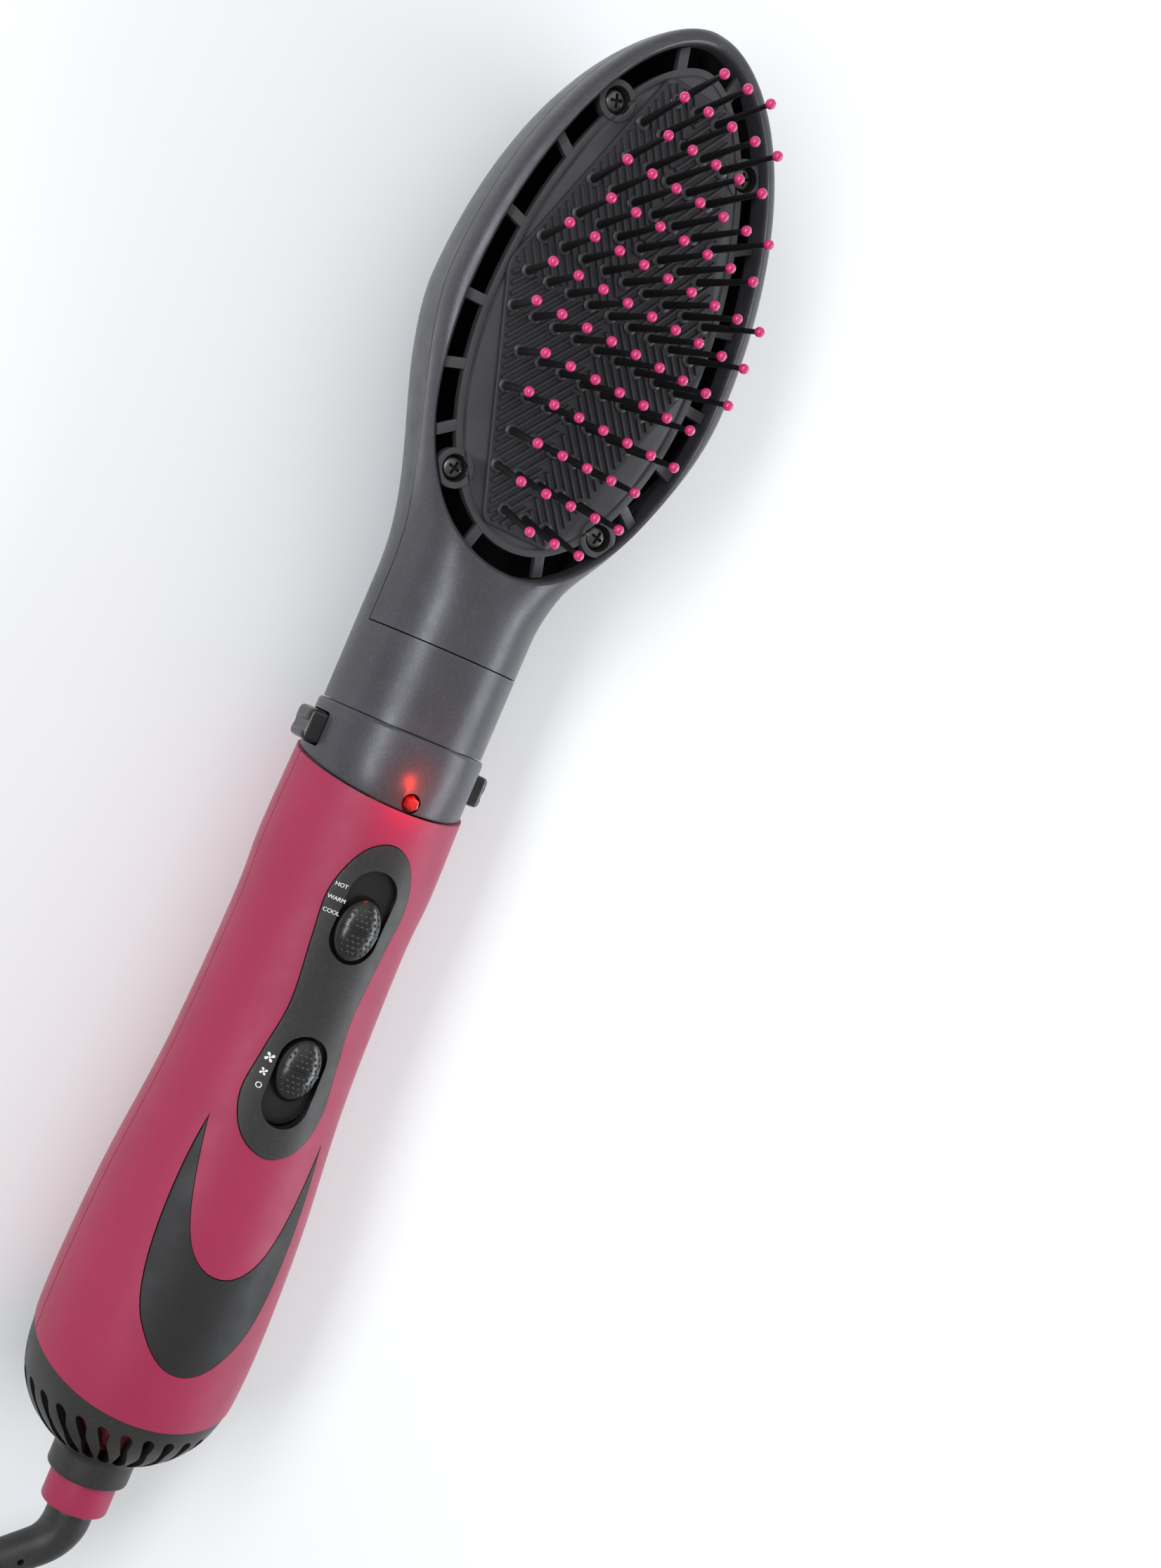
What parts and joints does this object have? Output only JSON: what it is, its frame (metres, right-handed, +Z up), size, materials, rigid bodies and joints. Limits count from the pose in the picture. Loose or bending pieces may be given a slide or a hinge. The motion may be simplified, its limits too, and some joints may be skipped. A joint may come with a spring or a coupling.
{
  "type": "hot air brush",
  "caption": "Hot air brush: an oval paddle head of ball-tipped bristles that pulls off a round handle holding a blower, a heater, sliding switches and a swivelling cord.",
  "frame": {"origin": "bottom centre of the box round the brush without its free cord, on the surface the brush lies on", "axes": "+X along the handle's axis towards the head's tip, +Z up out of the bristle side, +Y to the side the cord leaves on"},
  "size_m": [0.5066, 0.1087, 0.0627],
  "materials": {
    "head_grey": "matt",
    "pad_black": "matt",
    "dark_grey": "satin",
    "pink": "soft touch",
    "gloss_black": "gloss",
    "inner_black": "satin",
    "filter_red": "woven mesh",
    "lens_red": "clear red",
    "steel": "bright",
    "pin_metal": "polished",
    "mica": "matt",
    "board": "satin",
    "cord_black": "matt"
  },
  "bodies": {
    "handle": {"handle_front_shell": "pink", "handle_rear_shell": "pink", "grip_inlay": "dark_grey", "switch_panel": "dark_grey", "collar_ring": "dark_grey", "inlet_cap": "dark_grey", "inlet_filter": "filter_red", "latch_spring_left": "steel", "latch_spring_right": "steel", "indicator_lens": "lens_red", "indicator_lamp": "lens_red", "handle_screw": "steel", "heater_board_level": "mica", "heater_board_upright": "mica", "heater_coil": "steel", "heater_tube": "mica", "thermostat": "steel", "thermal_fuse": "steel", "outlet_guard": "dark_grey", "motor_can": "steel", "fan_shroud": "dark_grey", "rectifier_board": "board", "heat_switch_body": "inner_black", "speed_switch_body": "inner_black", "cord_clamp": "dark_grey"},
    "head": {"head_front_cover": "head_grey", "head_rear_shell": "head_grey", "vent_plate": "head_grey", "bristle_pad": "pad_black", "head_screw_1": "steel", "head_screw_2": "steel", "head_screw_3": "steel", "head_screw_4": "steel"},
    "heat_button": {"heat_slider": "gloss_black"},
    "speed_button": {"speed_slider": "gloss_black"},
    "release_left": {"release_button_left": "gloss_black"},
    "release_right": {"release_button_right": "gloss_black"},
    "fan": {"motor_shaft": "steel", "fan_rotor": "inner_black"},
    "swivel": {"swivel_ring": "pink", "elbow_boot": "dark_grey", "power_cord": "cord_black", "cord_coil": "cord_black", "cord_tail": "cord_black", "plug_body": "cord_black", "plug_pin_1": "pin_metal", "plug_pin_2": "pin_metal", "cord_tie": "cord_black"}
  },
  "joints": [
    {"name": "head_pull", "type": "slide", "parent": "handle", "child": "head", "axis": [1, 0, 0], "range_m": [0, 0.06]},
    {"name": "heat_slide", "type": "slide", "parent": "handle", "child": "heat_button", "axis": [1, 0, 0], "range_m": [0, 0.0055]},
    {"name": "speed_slide", "type": "slide", "parent": "handle", "child": "speed_button", "axis": [1, 0, 0], "range_m": [-0.0055, 0]},
    {"name": "release_left_press", "type": "slide", "parent": "handle", "child": "release_left", "axis": [0, -1, 0], "range_m": [0, 0.0015], "stiffness_N_per_m": 400, "springref_m": -0.002, "deforming": ["latch_spring_left"]},
    {"name": "release_right_press", "type": "slide", "parent": "handle", "child": "release_right", "axis": [0, 1, 0], "range_m": [0, 0.0015], "stiffness_N_per_m": 400, "springref_m": -0.002, "deforming": ["latch_spring_right"]},
    {"name": "fan_spin", "type": "hinge", "parent": "handle", "child": "fan", "pos_m": [-0.13, 0, 0.0253], "axis": [1, 0, 0], "continuous": true},
    {"name": "cord_swivel", "type": "hinge", "parent": "handle", "child": "swivel", "pos_m": [-0.1745, 0, 0.0253], "axis": [1, 0, 0], "continuous": true}
  ]
}
